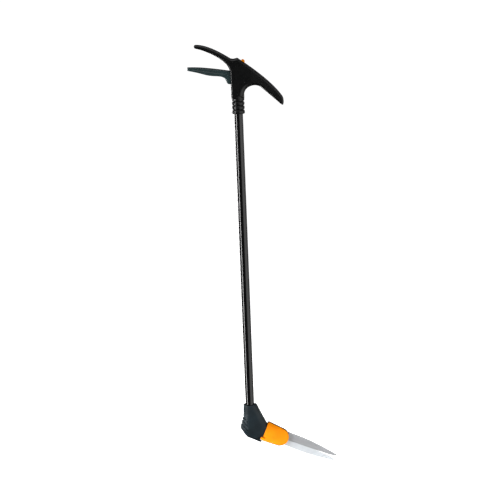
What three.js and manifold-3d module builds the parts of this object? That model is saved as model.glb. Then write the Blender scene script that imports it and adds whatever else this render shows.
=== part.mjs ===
// Long-handled grass shears with a swivelling cutting head.
// Millimetres, +Z up the tube, +X towards the blades. The origin is on the tube's axis, at the
// lower edge of the handle's collar. The head has its own frame: +X along the swivel axis towards
// the blade tips, +Z across the blades, +Y as the handle's.
import * as THREE from 'three';
import { mergeVertices } from 'three/addons/utils/BufferGeometryUtils.js';
import { ConvexGeometry } from 'three/addons/geometries/ConvexGeometry.js';
import Module from 'manifold-3d';

const wasm = await Module();
wasm.setup();

// ---- Driving dimensions ----
const GAP = 0.3; // between pieces that touch
const HALF_GAP = GAP / 2;
const RUN = 0.4; // running clearance round a moving pin or rod

const TUBE_R = 11;
const TUBE_WALL = 1.4;
const TUBE_TOP = 36;
const TUBE_BOTTOM = -748.5;

const HEAD_TILT = THREE.MathUtils.degToRad(24); // swivel axis below the horizontal
const SWIVEL = new THREE.Vector3(34.7, 0, -794.2); // centre of the joint face, on the swivel axis

const HANDLE_HALF = 17; // half thickness of the housing
const HANDLE_POCKET = 13.5; // half width of the hollow inside it
const LEVER_HALF = 9;
const LEVER_PIVOT = new THREE.Vector3(22, 0, 90);
const LEVER_PIN_R = 3;
const LINK_PIN_R = 2;
const STEM_R = 15.7;
const STEM_TOP = 44;
const RIB_HEIGHTS = [10.4, 20.7, 30.9];
const HANDLE_SCREWS = [[-72, 159], [-6, 123], [34, 83], [62, 74], [95, 41]];

const ROD_R = 3;
const SPRING_LOW = 44.5;
const SPRING_HIGH = 62;

const BOOT_TOP = -725.5;
const BOOT_FACE_R = 22;
const BOOT_FACE_V = -3.8; // the face's centre, across the swivel axis
const SOLE_V = -31.2;
const BOOT_POCKET = 7; // half width of the crank's chamber
const BOOT_SCREWS = [[-16.5, -779.5], [30.5, -768], [4, -803]];
const WAIST_Z = -753.5;
const HEEL_CENTRE = new THREE.Vector3(-4.2, 0, -785.5);
const CRANK_ARM = 15;
const CRANK_HALF = 2.5;
const CRANK_PIN_R = 1.8;
const DETENT_V = -16;

const POD_FRONT = 23.4; // radius of the head's round end
const POD_V = -1.5; // the head's centre line, across the swivel axis
const POD_END_U = 40.3; // centre of the round end
const PLATE_IN = 2.6;
const PLATE_OUT = 4.6;
const BLADE_PIVOT_U = 45;
const BLADE_NEAR = 0.15;
const BLADE_FAR = 2.15;
const BOLT_R = 3.7;
const TANG_PIN_U = 23; // the slider's pin at rest
const TANG_PIN_R = 2.5;

// ---- Helpers ----
const Y_AXIS = new THREE.Vector3(0, 1, 0);
const HEAD = new THREE.Matrix4().makeRotationY(HEAD_TILT).setPosition(SWIVEL);
const v3 = (x, y, z) => new THREE.Vector3(x, y, z);
const inHead = (u, y, v) => v3(u, y, v).applyMatrix4(HEAD);

// A closed geometry as a solid that can be joined and cut.
function solid(geometry) {
  const bare = geometry.clone();
  bare.deleteAttribute('normal');
  bare.deleteAttribute('uv');
  const merged = mergeVertices(bare, 1e-3);
  return new wasm.Manifold(new wasm.Mesh({
    numProp: 3,
    vertProperties: new Float32Array(merged.attributes.position.array),
    triVerts: new Uint32Array(merged.index.array),
  }));
}

function geometryOf(shape) {
  const mesh = shape.getMesh();
  const geometry = new THREE.BufferGeometry();
  geometry.setAttribute('position', new THREE.BufferAttribute(mesh.vertProperties, 3));
  geometry.setIndex(new THREE.BufferAttribute(mesh.triVerts, 1));
  geometry.computeVertexNormals();
  return geometry;
}

const joined = (...parts) => parts.reduce((all, part) => all.add(part));
const cut = (body, ...tools) => tools.reduce((left, tool) => left.subtract(tool), body);

function boxBetween(x0, x1, y0, y1, z0, z1) {
  const box = new THREE.BoxGeometry(x1 - x0, y1 - y0, z1 - z0);
  return box.translate((x0 + x1) / 2, (y0 + y1) / 2, (z0 + z1) / 2);
}

function cylinderBetween(radius, from, to, sides = 24) {
  const along = to.clone().sub(from);
  const rod = new THREE.CylinderGeometry(radius, radius, along.length(), sides);
  const turn = new THREE.Quaternion().setFromUnitVectors(Y_AXIS, along.clone().normalize());
  rod.applyQuaternion(turn);
  return rod.translate((from.x + to.x) / 2, (from.y + to.y) / 2, (from.z + to.z) / 2);
}

// Pins and screws all lie along Y: a cylinder at (x, z) from y0 to y1.
const pinAt = (radius, x, z, y0, y1, sides = 20) => cylinderBetween(radius, v3(x, y0, z), v3(x, y1, z), sides);
const upright = (radius, z0, z1, sides = 24) => cylinderBetween(radius, v3(0, 0, z0), v3(0, 0, z1), sides);
const along = (radius, u0, u1, sides = 24) => cylinderBetween(radius, v3(u0, 0, 0), v3(u1, 0, 0), sides);

// A side-view shape, in x and z, given its thickness from y0 to y1.
function sidePlate(shape, y0, y1, rounding = 0, steps = 6) {
  const plate = new THREE.ExtrudeGeometry(shape, {
    depth: y1 - y0 - 2 * rounding,
    bevelEnabled: rounding > 0,
    bevelThickness: rounding,
    bevelSize: rounding,
    bevelOffset: -rounding,
    bevelSegments: 2,
    curveSegments: steps,
  });
  return plate.rotateX(Math.PI / 2).translate(0, y1 - rounding, 0);
}

const polygon = (points) => new THREE.Shape(points.map(([x, z]) => new THREE.Vector2(x, z)));

// A ring of points: centre, two half-axis vectors, and the arc in turns.
function ring(centre, a, b, count = 24, from = 0, turns = 1) {
  const last = turns === 1 ? count - 1 : count;
  return Array.from({ length: last + 1 }, (_, i) => {
    const angle = 2 * Math.PI * (from + (turns * i) / count);
    return centre.clone().addScaledVector(a, Math.cos(angle)).addScaledVector(b, Math.sin(angle));
  });
}

const levelRing = (x, z, r, count) => ring(v3(x, 0, z), v3(r, 0, 0), v3(0, r, 0), count);
const hull = (...rings) => new ConvexGeometry(rings.flat());

// A round profile turned about Z.
function turned(points, sides = 28) {
  const profile = points.map(([r, z]) => new THREE.Vector2(r, z));
  return new THREE.LatheGeometry(profile, sides).rotateX(Math.PI / 2);
}

// A coil spring about Z, from z0 to z1.
function coil(radius, wire, z0, z1, turns, stepsPerTurn = 10) {
  const count = turns * stepsPerTurn;
  const points = Array.from({ length: count + 1 }, (_, i) => {
    const angle = (2 * Math.PI * i) / stepsPerTurn;
    return v3(radius * Math.cos(angle), radius * Math.sin(angle), z0 + wire + ((z1 - z0 - 2 * wire) * i) / count);
  });
  const section = new THREE.Shape().absarc(0, 0, wire, 0, 2 * Math.PI);
  const path = new THREE.CatmullRomCurve3(points);
  return new THREE.ExtrudeGeometry(section, { extrudePath: path, steps: count, curveSegments: 3, bevelEnabled: false });
}

// ---- Finishes ----
const finish = (color, roughness, metalness = 0) => new THREE.MeshStandardMaterial({ color, roughness, metalness });
const blackNylon = () => finish(0x131315, 0.5);
const greyNylon = () => finish(0x3b3d3f, 0.55);
const orangePlastic = () => finish(0xf97a08, 0.4);
const blackEnamel = () => finish(0x0b0b0d, 0.15);
const steel = () => finish(0x9a9da0, 0.35, 1);
const brightSteel = () => finish(0xc6c9cc, 0.25, 1);

const shears = new THREE.Group();
const head = new THREE.Group();
head.position.copy(SWIVEL);
head.rotation.y = HEAD_TILT;
shears.add(head);

function add(parent, name, shape, material) {
  const mesh = new THREE.Mesh(shape.isBufferGeometry ? shape : geometryOf(shape), material);
  mesh.name = name;
  parent.add(mesh);
}

// ---- Handle ----
function handleOutline() {
  const s = new THREE.Shape();
  s.moveTo(-15.8, 40);
  s.lineTo(-16.8, 105);
  s.bezierCurveTo(-19, 117, -26, 127, -44, 139.5); // root of the palm grip, underside
  s.bezierCurveTo(-62, 151, -82, 160, -99, 164);
  s.bezierCurveTo(-105, 165.5, -104.5, 172.5, -98, 172.5); // its rounded tip
  s.bezierCurveTo(-75, 171.5, -48, 158.5, -14, 135.5); // its back
  s.lineTo(-2, 135.8);
  s.lineTo(2, 137);
  s.bezierCurveTo(36, 112.5, 85, 76.5, 110, 38.5); // roof of the front arm
  s.bezierCurveTo(112, 33, 112, 17, 105, 21.2); // end of the arm
  s.lineTo(56, 65);
  s.bezierCurveTo(48, 72, 18, 72, 15.5, 46); // crook between arm and stem
  s.lineTo(15.5, 40);
  return s;
}

// The handle from above: narrow at the grip's tip, widest over the lever.
function handlePlan() {
  const half = [[-108, 11.5], [-70, 14], [-14, HANDLE_HALF], [34, HANDLE_HALF], [114, 13]];
  const back = half.map(([x, y]) => [x, -y]).reverse();
  const plan = new THREE.ExtrudeGeometry(polygon([...half, ...back]), { depth: 170, bevelEnabled: false });
  return plan.translate(0, 0, 10);
}

function stem() {
  const side = RIB_HEIGHTS.flatMap((z) => [[STEM_R, z - 1.7], [STEM_R - 1.3, z], [STEM_R, z + 1.7]]);
  return turned([[0, 0], [STEM_R - 0.8, 0], [STEM_R, 1.2], ...side, [STEM_R, STEM_TOP], [0, STEM_TOP]]);
}

const handleHollow = polygon([
  [-12.5, 45], [12, 45], [12.5, 52], [20, 66], [38, 74.5], [54, 71], [68, 60], [76, 58],
  [73, 76], [50, 95], [28, 113.5], [4, 131], [-9, 131], [-13, 116],
]);

function screwSeat([x, z], y1) {
  return joined(solid(pinAt(2.1, x, z, -9, y1, 12)), solid(pinAt(4, x, z, y1 - 3.4, y1 + 20, 16)));
}

function handleBody() {
  const outside = solid(sidePlate(handleOutline(), -HANDLE_HALF, HANDLE_HALF, 2.5, 7));
  const body = joined(outside.intersect(solid(handlePlan())), solid(stem()));
  const boss = (r, x, z) => cut(
    solid(pinAt(r, x, z, -HANDLE_POCKET - 1, HANDLE_POCKET + 1, 16)),
    solid(boxBetween(x - 9, x + 9, -LEVER_HALF - 0.6, LEVER_HALF + 0.6, z - 9, z + 9)),
  );
  const ledge = cut(
    solid(boxBetween(-9.5, 15, -14, 14, SPRING_HIGH + GAP, SPRING_HIGH + 3)),
    solid(upright(ROD_R + RUN, SPRING_HIGH - 1, SPRING_HIGH + 5)),
  );
  const posts = HANDLE_SCREWS.slice(1).map(([x, z]) => solid(pinAt(4.2, x, z, -14, 14, 12)));
  const inside = cut(
    solid(sidePlate(handleHollow, -HANDLE_POCKET, HANDLE_POCKET)),
    boss(6.5, LEVER_PIVOT.x, LEVER_PIVOT.z), ledge, ...posts,
  );
  return cut(
    body, inside,
    solid(upright(TUBE_R + GAP, -1, 47)),
    solid(boxBetween(-30, -12, -LEVER_HALF - 0.6, LEVER_HALF + 0.6, 57, 110)),
    solid(pinAt(LEVER_PIN_R + GAP, LEVER_PIVOT.x, LEVER_PIVOT.z, -14.3, 14.3)),
    lockWindow(),
    ...HANDLE_SCREWS.map((at) => screwSeat(at, HANDLE_HALF - 2)),
  );
}

// ---- Lock button: slides along the roof, its frame has +X down the slope ----
const ROOF_SLOPE = THREE.MathUtils.degToRad(37.5);
const LOCK_AT = v3(15.2, 0, 128); // on the roof's surface
const LOCK = new THREE.Matrix4().makeRotationY(ROOF_SLOPE).setPosition(LOCK_AT);
const LOCK_TRAVEL = 5;

function lockWindow() {
  const reach = LOCK_TRAVEL + GAP + 3;
  const window = boxBetween(-3.5, reach + 0.5, -3.6, 3.6, -7, 4).applyMatrix4(LOCK);
  const seat = boxBetween(-5.5, 5.5 + LOCK_TRAVEL, -6.4, 6.4, -0.6, 6).applyMatrix4(LOCK);
  return joined(solid(window), solid(seat));
}

function lockButton() {
  const cap = sidePlate(polygon([[-4.8, 0], [4.8, 0], [4.2, 1.6], [1.5, 3.2], [-2.5, 3.4], [-4.4, 2]]), -6, 6);
  const neck = boxBetween(-3, 3, -3.2, 3.2, -5.6, 0.5);
  const foot = boxBetween(-6, 6, -6, 6, -7.4, -5.4);
  const tongue = boxBetween(-1.5, 1.5, -3, 3, -16, -7);
  return joined(...[cap, neck, foot, tongue].map((piece) => solid(piece.applyMatrix4(LOCK))));
}

// ---- Lever ----
function leverOutline() {
  const s = new THREE.Shape();
  s.moveTo(-120.9, 111.5);
  s.lineTo(-120.6, 118.5);
  s.bezierCurveTo(-90, 118.5, -60, 114, -18, 106.6);
  s.lineTo(12, 99.5);
  s.absarc(LEVER_PIVOT.x, LEVER_PIVOT.z, 7.5, 2, -2.4, true);
  s.lineTo(-3, 80);
  s.lineTo(-16, 73.7);
  s.bezierCurveTo(-27, 73, -25, 79, -28, 84); // heel guard
  s.bezierCurveTo(-31, 91, -36, 94, -50, 95.1);
  s.bezierCurveTo(-80, 97, -80, 103, -120.9, 111.5);
  return s;
}

function lever() {
  return cut(
    solid(sidePlate(leverOutline(), -LEVER_HALF, LEVER_HALF, 2, 6)),
    solid(boxBetween(-7.5, 7.5, -3, 3, 60, 98)),
    solid(pinAt(LEVER_PIN_R + GAP, LEVER_PIVOT.x, LEVER_PIVOT.z, -12, 12)),
    solid(pinAt(LINK_PIN_R + GAP, 0, LEVER_PIVOT.z, -12, 12)),
  );
}

// ---- Pull rod ----
const rodPin = v3(0, 0, 0); // where the rod meets the crank: set from the swivel axis below
const crankPivot = v3(0, 0, 0);
const drivePinU = crankLayout();

// The crank's pivot is one arm length from the tube's axis and from the swivel axis.
function crankLayout() {
  const meetU = -SWIVEL.x / Math.cos(HEAD_TILT);
  const meetZ = inHead(meetU, 0, 0).z;
  const rise = (CRANK_ARM * (1 - Math.sin(HEAD_TILT))) / Math.cos(HEAD_TILT);
  crankPivot.set(CRANK_ARM, 0, meetZ + rise);
  rodPin.set(0, 0, crankPivot.z);
  return crankPivot.clone().applyMatrix4(HEAD.clone().invert()).x;
}

// A round-ended slot along X, centred at (x, z).
function slotShape(x, z, halfLength, halfWidth) {
  const s = new THREE.Shape();
  s.absarc(x + halfLength, z, halfWidth, -Math.PI / 2, Math.PI / 2);
  s.absarc(x - halfLength, z, halfWidth, Math.PI / 2, (3 * Math.PI) / 2);
  return s;
}

const FORK_WEB = 2.4;

// Two ears with a pin hole at the origin, on a root block that lies along +X.
function fork(earR, root) {
  const ears = joined(
    solid(pinAt(earR, 0, 0, -5.4, 5.4, 18)),
    solid(boxBetween(0, root, -5.4, 5.4, -earR, earR)),
  );
  return cut(
    ears,
    solid(boxBetween(-9, root - FORK_WEB, -CRANK_HALF - GAP, CRANK_HALF + GAP, -9, 9)),
    solid(pinAt(CRANK_PIN_R + GAP, 0, 0, -7, 7, 16)),
  );
}

const toSolid = (shape, matrix) => solid(geometryOf(shape).applyMatrix4(matrix));

function pullRod() {
  const eyeZ = LEVER_PIVOT.z;
  const eye = joined(
    solid(pinAt(5, 0, eyeZ, -2.5, 2.5, 18)),
    solid(boxBetween(-3.5, 3.5, -2.5, 2.5, eyeZ - 12, eyeZ)),
  );
  const slot = solid(sidePlate(slotShape(0, eyeZ, 0.8, LINK_PIN_R + GAP), -4, 4));
  const upward = new THREE.Matrix4().makeRotationY(-Math.PI / 2).setPosition(rodPin);
  return joined(
    eye.subtract(slot),
    solid(upright(ROD_R, rodPin.z + 10, eyeZ - 8, 16)),
    toSolid(fork(4.4, 13), upward),
  );
}

// ---- Crank ----
function crank() {
  const driveEye = inHead(drivePinU, 0, 0);
  const disc = (at, r) => ring(v3(at.x, 0, at.z), v3(r, 0, 0), v3(0, 0, r), 18)
    .flatMap((p) => [v3(p.x, -CRANK_HALF, p.z), v3(p.x, CRANK_HALF, p.z)]);
  const plate = solid(hull(disc(crankPivot, 5.6), disc(rodPin, 4.4), disc(driveEye, 4.4)));
  const rodSlot = sidePlate(slotShape(rodPin.x - 0.4, rodPin.z, 0.9, CRANK_PIN_R + 0.5), -4, 4);
  const driveSlot = sidePlate(slotShape(-CRANK_ARM - 0.4, 0, 0.9, CRANK_PIN_R + 0.5), -4, 4)
    .rotateY(HEAD_TILT - Math.PI / 2).translate(crankPivot.x, 0, crankPivot.z);
  return cut(plate, solid(rodSlot), solid(driveSlot), solid(pinAt(3 + GAP, crankPivot.x, crankPivot.z, -4, 4)));
}

// ---- Boot ----
function bootBody() {
  const across = v3(0, BOOT_FACE_R, 0);
  const up = inHead(0, 0, 1).sub(SWIVEL).multiplyScalar(BOOT_FACE_R);
  const face = ring(inHead(0, 0, BOOT_FACE_V), across, up, 28);
  const waist = levelRing(0, WAIST_Z, 16.4, 24);
  const neck = hull(levelRing(0, BOOT_TOP, 15.3, 24), levelRing(0, BOOT_TOP - 8, 15.4, 24), waist, face);
  const under = ring(v3(-22, 0, -26.5), v3(-24, 0, 0), v3(0, 14, 0), 16, -0.25, 0.5)
    .map((p) => p.applyMatrix4(HEAD));
  const heel = hull(waist, levelRing(HEEL_CENTRE.x, HEEL_CENTRE.z, 21.5, 28), under, face);
  const keelEnds = [[-46, -28.2], [-34, SOLE_V], [-2, SOLE_V], [-2, -18], [-46, -20]];
  const keel = hull(keelEnds.flatMap(([u, v]) => [inHead(u, -8, v), inHead(u, 8, v)]));
  const toe = boxBetween(-8, 3, -8, 8, SOLE_V, -28.9).applyMatrix4(HEAD);
  return { whole: joined(solid(neck), solid(heel), solid(keel), solid(toe)), heel };
}

// Three finger grooves run down and forward round the heel.
function heelGrooves(heel) {
  const shrink = 0.93;
  const core = heel.clone().translate(4, 0, 778.5).scale(shrink, shrink, shrink).translate(-4, 0, -778.5);
  const slabs = [0, 1, 2].map((i) => {
    const slab = new THREE.BoxGeometry(46, 60, 2.4).rotateY(Math.PI / 4);
    return solid(slab.translate(-10 - i, 0, -765 - 10.2 * i));
  });
  const reach = solid(boxBetween(-40, -5, -40, 40, -804, -743));
  return joined(...slabs).intersect(reach).subtract(solid(core));
}

const crankChamber = polygon([
  [-9, -747], [11, -747], [26, -763.5], [28, -774.5], [24.5, -783.5], [20, -795], [6, -795],
  [-6, -787.5], [-9, -777.5],
]);

function bootShells() {
  const { whole, heel } = bootBody();
  const post = cut(
    solid(pinAt(6, crankPivot.x, crankPivot.z, -BOOT_POCKET - 1, BOOT_POCKET + 1)),
    solid(boxBetween(0, 30, -CRANK_HALF - 0.6, CRANK_HALF + 0.6, crankPivot.z - 9, crankPivot.z + 9)),
  );
  const chamber = solid(sidePlate(crankChamber, -BOOT_POCKET, BOOT_POCKET)).subtract(post);
  const bores = [along(9.9, -15, 1), along(12.6, -14.6, -11), along(2.8, -16, 1, 16).translate(0, 0, DETENT_V)];
  return cut(
    whole, heelGrooves(heel), chamber,
    solid(upright(TUBE_R + GAP, TUBE_BOTTOM - GAP, BOOT_TOP + 1)),
    solid(upright(13, BOOT_TOP - 3.5, BOOT_TOP + 1)),
    ...bores.map((bore) => solid(bore.applyMatrix4(HEAD))),
    solid(pinAt(3 + GAP, crankPivot.x, crankPivot.z, -11.3, 11.3)),
    ...BOOT_SCREWS.map((at) => screwSeat(at, 14)),
  );
}

// Splits a body on the plane y = 0 into its two halves.
function halves(body) {
  const big = 400;
  const right = body.intersect(solid(boxBetween(-big, big, -big, -HALF_GAP, -1000, 300)));
  const left = body.intersect(solid(boxBetween(-big, big, HALF_GAP, big, -1000, 300)));
  return { right, left };
}

function screw([x, z], y1) {
  return joined(solid(pinAt(1.8, x, z, -8.6, y1 - 3, 12)), solid(pinAt(3.6, x, z, y1 - 3.1, y1 - 0.4, 16)));
}

// ---- Head ----
// Sections of the head across the swivel axis: u, half width, half depth.
const podOutside = [[1, 26.4, 21], [20, 25.4, 17], [40, 24.4, 13], [63.5, 23, 9]];
const podInside = [[-1, 24, 18.8], [20, 23, 14.6], [40, 22, 10.7], [61, 20.6, 7]];
const discSections = podInside.map(([u, w, d]) => [u, w - RUN, d - RUN]);

const pod = (sections) => solid(hull(...sections.map(([u, w, d]) => ring(v3(u, 0, POD_V), v3(0, d, 0), v3(0, 0, w), 24))));

// The head from the side: a tongue that narrows to a round end.
function tongue(rear, front, u0 = 1) {
  const s = new THREE.Shape();
  s.moveTo(u0, POD_V - rear);
  s.lineTo(POD_END_U, POD_V - front);
  s.absarc(POD_END_U, POD_V, front, -Math.PI / 2, Math.PI / 2);
  s.lineTo(u0, POD_V + rear);
  return s;
}

const podShell = () => pod(podOutside).intersect(solid(sidePlate(tongue(30, POD_FRONT), -30, 30, 0, 14)));
const podHollow = () => pod(podInside).intersect(solid(sidePlate(tongue(30, POD_FRONT - 2.5, -2), -30, 30, 0, 10)));

function headCover() {
  const front = podShell().intersect(solid(boxBetween(0, 70, -30, -PLATE_OUT - GAP, -30, 30)));
  const fromAxis = hull([25.6, 28].flatMap((r) => [218, 230].flatMap((deg) => {
    const a = THREE.MathUtils.degToRad(deg);
    return [-2.8, 5].map((u) => v3(u, r * Math.cos(a), r * Math.sin(a)));
  })));
  const tabRoot = hull([22.4, 27].flatMap((r) => [218, 230].flatMap((deg) => {
    const a = THREE.MathUtils.degToRad(deg);
    return [1.5, 6].map((u) => v3(u, r * Math.cos(a), r * Math.sin(a)));
  })));
  return joined(cut(front, podHollow()), solid(fromAxis), solid(tabRoot));
}

function underShell() {
  const deep = solid(boxBetween(0, 70, PLATE_IN, 30, -30, 30));
  const rear = solid(boxBetween(0, 33.5, -PLATE_IN + GAP, 30, -30, 30));
  const shell = cut(podShell().intersect(joined(deep, rear)), podHollow());
  const boss = (v) => solid(pinAt(3, 14, v, PLATE_OUT + GAP, 12, 14)).intersect(pod(podOutside));
  const seat = (v) => joined(solid(pinAt(1.5, 14, v, 0, 20, 12)), solid(pinAt(2.6, 14, v, 8, 20, 14)));
  return cut(joined(shell, boss(17.6), boss(-17.6)), seat(17.6), seat(-17.6));
}

function swivelHub() {
  const window = solid(boxBetween(5.5, 33, -6, 6, -16, 16));
  const facePlate = solid(sidePlate(tongue(30, POD_FRONT), -PLATE_OUT, -PLATE_IN, 0, 14)).intersect(pod(podOutside));
  const backOutline = polygon([[4, -19.6], [35, -17.6], [46, -12], [56, -7], [56, 7], [46, 12], [35, 17.6], [4, 19.6]]);
  const backPlate = solid(sidePlate(backOutline, PLATE_IN, PLATE_OUT));
  const rail = (v) => solid(boxBetween(4, 22, -3, 3, v - 1.4, v + 1.4));
  const track = new THREE.TorusGeometry(-DETENT_V, 2.9, 8, 28).rotateY(Math.PI / 2).translate(-0.9, 0, 0);
  const screwHole = (v) => solid(pinAt(1.5, 14, v, -1.5, 10, 12));
  const body = joined(
    solid(along(30, 0.5, 5.5, 12)).intersect(pod(discSections)), solid(along(9.5, -14, 1)),
    facePlate.subtract(window), backPlate.subtract(window), rail(17.6), rail(-17.6),
  );
  return cut(
    body, solid(track), solid(along(ROD_R + 0.9, -15, 7)),
    solid(along(11, -13.9, -11.7)).subtract(solid(along(8.2, -14.5, -11))),
    solid(pinAt(BOLT_R + GAP, BLADE_PIVOT_U, 0, -8, 8)), screwHole(17.6), screwHole(-17.6),
  );
}

function retainingRing() {
  const outer = solid(along(12, -13.6, -12));
  return cut(outer, solid(along(8.6, -15, -11)), solid(boxBetween(-15, -11, -3, 3, 4, 14)));
}

// ---- Blades: the upper one is drawn, the lower one is its mirror image ----
function bladeOutline() {
  const s = new THREE.Shape();
  s.moveTo(50, -10);
  s.lineTo(63, -3);
  s.lineTo(170, 1.4); // cutting edge
  s.quadraticCurveTo(185, 2.8, 195, 7.6);
  s.quadraticCurveTo(152, 13.4, 118, 15.6); // spine
  s.quadraticCurveTo(90, 17, 56, 16);
  s.lineTo(44, 10);
  return s;
}

function upperBlade() {
  const [y0, y1] = [-BLADE_FAR, -BLADE_NEAR];
  const disc = (u, v, r) => ring(v3(u, 0, v), v3(r, 0, 0), v3(0, 0, r), 20)
    .flatMap((p) => [v3(p.x, y0, p.z), v3(p.x, y1, p.z)]);
  const tang = solid(hull(disc(BLADE_PIVOT_U, 0, 12), disc(22.9, -0.4, 5.9), disc(28, 3, 6.2)));
  const slot = sidePlate(slotShape(0, 0, 4.2, TANG_PIN_R + 0.5), -4, 4)
    .rotateY(THREE.MathUtils.degToRad(-30.6)).translate(25.3, 0, 1.25);
  return cut(
    joined(tang, solid(sidePlate(bladeOutline(), y0, y1, 0, 8))),
    solid(slot), solid(pinAt(BOLT_R + GAP, BLADE_PIVOT_U, 0, -4, 4)),
  );
}

function lowerBlade() {
  const half = new THREE.Matrix4().makeRotationX(Math.PI); // turned over: y and z both change sign
  return toSolid(upperBlade(), half);
}

// ---- Drive through the swivel ----
const SLIDER_REAR = 7.3;
const SLIDER_FRONT = 12.3;

function driveRod() {
  const backward = new THREE.Matrix4().makeTranslation(drivePinU, 0, 0);
  return joined(
    toSolid(fork(4.4, 8), backward),
    solid(along(ROD_R + 0.5, drivePinU + 5.5, 10.6, 16)),
    solid(along(5.5, 9.3, 11.2, 18)),
  );
}

function slider() {
  const arm = (side) => solid(boxBetween(SLIDER_REAR, 27, side > 0 ? 2.7 : -6, side > 0 ? 6 : -2.7, -4.5, 4.5));
  return cut(
    joined(solid(boxBetween(SLIDER_REAR, SLIDER_FRONT, -7.5, 7.5, -9, 9)), arm(1), arm(-1)),
    solid(along(ROD_R + 0.9, 6, 10)), solid(along(5.9, 8.9, 11.6)),
    solid(boxBetween(11.5, 13, -BLADE_FAR - 0.45, BLADE_FAR + 0.45, -10, 10)), // room for the opened tangs
    solid(pinAt(TANG_PIN_R + GAP, TANG_PIN_U, 0, -8, 8)),
  );
}

function bladeBolt() {
  return joined(
    solid(pinAt(6, BLADE_PIVOT_U, 0, -8, -PLATE_OUT - GAP, 6)),
    solid(pinAt(BOLT_R, BLADE_PIVOT_U, 0, -PLATE_OUT - 0.6, 8.8)),
  );
}

const washer = (inner, outer, y0, y1, sides = 24) => cut(
  solid(pinAt(outer, BLADE_PIVOT_U, 0, y0, y1, sides)), solid(pinAt(inner, BLADE_PIVOT_U, 0, y0 - 1, y1 + 1)),
);

// ---- Assembly ----
const handle = halves(handleBody());
add(shears, 'handle_shell_right', handle.right, blackNylon());
add(shears, 'handle_shell_left', handle.left, blackNylon());
HANDLE_SCREWS.forEach((at, i) => add(shears, `handle_screw_${i + 1}`, screw(at, HANDLE_HALF - 2), steel()));
add(shears, 'lock_button', lockButton(), orangePlastic());
add(shears, 'trigger_lever', lever(), greyNylon());
add(shears, 'lever_pivot_pin', pinAt(LEVER_PIN_R, LEVER_PIVOT.x, LEVER_PIVOT.z, -14, 14), steel());
add(shears, 'link_pin', pinAt(LINK_PIN_R, 0, LEVER_PIVOT.z, -8.6, 8.6, 16), steel());
add(shears, 'return_spring', coil(6, 0.9, SPRING_LOW, SPRING_HIGH, 5), steel());
add(shears, 'spring_seat', cut(solid(upright(8.5, SPRING_LOW - 1.8, SPRING_LOW - GAP)),
  solid(upright(ROD_R + GAP, SPRING_LOW - 3, SPRING_LOW + 1, 16))), steel());

const tube = cut(solid(upright(TUBE_R, TUBE_BOTTOM, TUBE_TOP, 36)),
  solid(upright(TUBE_R - TUBE_WALL, TUBE_BOTTOM - 1, TUBE_TOP + 1, 36)));
add(shears, 'shaft_tube', tube, blackEnamel());
const guide = (z) => cut(solid(upright(TUBE_R - TUBE_WALL - GAP, z, z + 9)), solid(upright(ROD_R + RUN, z - 1, z + 10, 16)));
add(shears, 'rod_guide_upper', guide(TUBE_TOP - 26), greyNylon());
add(shears, 'rod_guide_lower', guide(TUBE_BOTTOM + 3), greyNylon());
add(shears, 'pull_rod', pullRod(), steel());
add(shears, 'rod_pin', pinAt(CRANK_PIN_R, rodPin.x, rodPin.z, -6.4, 6.4, 16), steel());

const boot = halves(bootShells());
add(shears, 'boot_shell_right', boot.right, greyNylon());
add(shears, 'boot_shell_left', boot.left, greyNylon());
BOOT_SCREWS.forEach((at, i) => add(shears, `boot_screw_${i + 1}`, screw(at, 14), steel()));
add(shears, 'bell_crank', crank(), steel());
add(shears, 'crank_pivot_pin', pinAt(3, crankPivot.x, crankPivot.z, -11, 11), steel());

add(head, 'drive_rod', driveRod(), steel());
add(head, 'drive_pin', pinAt(CRANK_PIN_R, drivePinU, 0, -6.4, 6.4, 16), steel());
add(head, 'detent_ball', new THREE.SphereGeometry(2.4, 14, 10).translate(-0.9, 0, DETENT_V), brightSteel());
add(head, 'detent_spring', coil(1.9, 0.35, -15.6, -3.7, 5, 9).rotateY(Math.PI / 2).translate(0, 0, DETENT_V), steel());
add(head, 'swivel_hub', swivelHub(), blackNylon());
add(head, 'retaining_ring', retainingRing(), steel());
add(head, 'head_cover', headCover(), orangePlastic());
add(head, 'under_shell', underShell(), blackNylon());
[17.6, -17.6].forEach((v, i) => add(head, `shell_screw_${i + 1}`,
  joined(solid(pinAt(1.2, 14, v, -1, 8.5, 12)), solid(pinAt(2.3, 14, v, 8.2, 9.8, 14))), steel()));
add(head, 'blade_upper', upperBlade(), steel());
add(head, 'blade_lower', lowerBlade(), brightSteel());
add(head, 'blade_bolt', bladeBolt(), steel());
add(head, 'tension_washer', washer(BOLT_R + GAP, 8, PLATE_OUT + GAP, 5.8), steel());
add(head, 'blade_nut', washer(BOLT_R + GAP, 6.5, 6.1, 8.6, 6), steel());
add(head, 'slider', slider(), greyNylon());
add(head, 'slider_pin', pinAt(TANG_PIN_R, TANG_PIN_U, 0, -7.3, 7.3), steel());

export default shears;
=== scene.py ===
"""Looks for the long-handled swivel grass shears.

Metres, +Z up the shaft, +X towards the blades. The head has its own frame: u along the swivel
axis towards the blade tips, v across the blades, y as the handle's. Shapes are worked out in
millimetres and put into the meshes in metres.
"""

import bmesh
import bpy
import numpy as np
from bpy.props import FloatProperty, FloatVectorProperty, IntProperty, PointerProperty
from mathutils import Matrix, Vector
from mathutils.geometry import delaunay_2d_cdt


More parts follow.
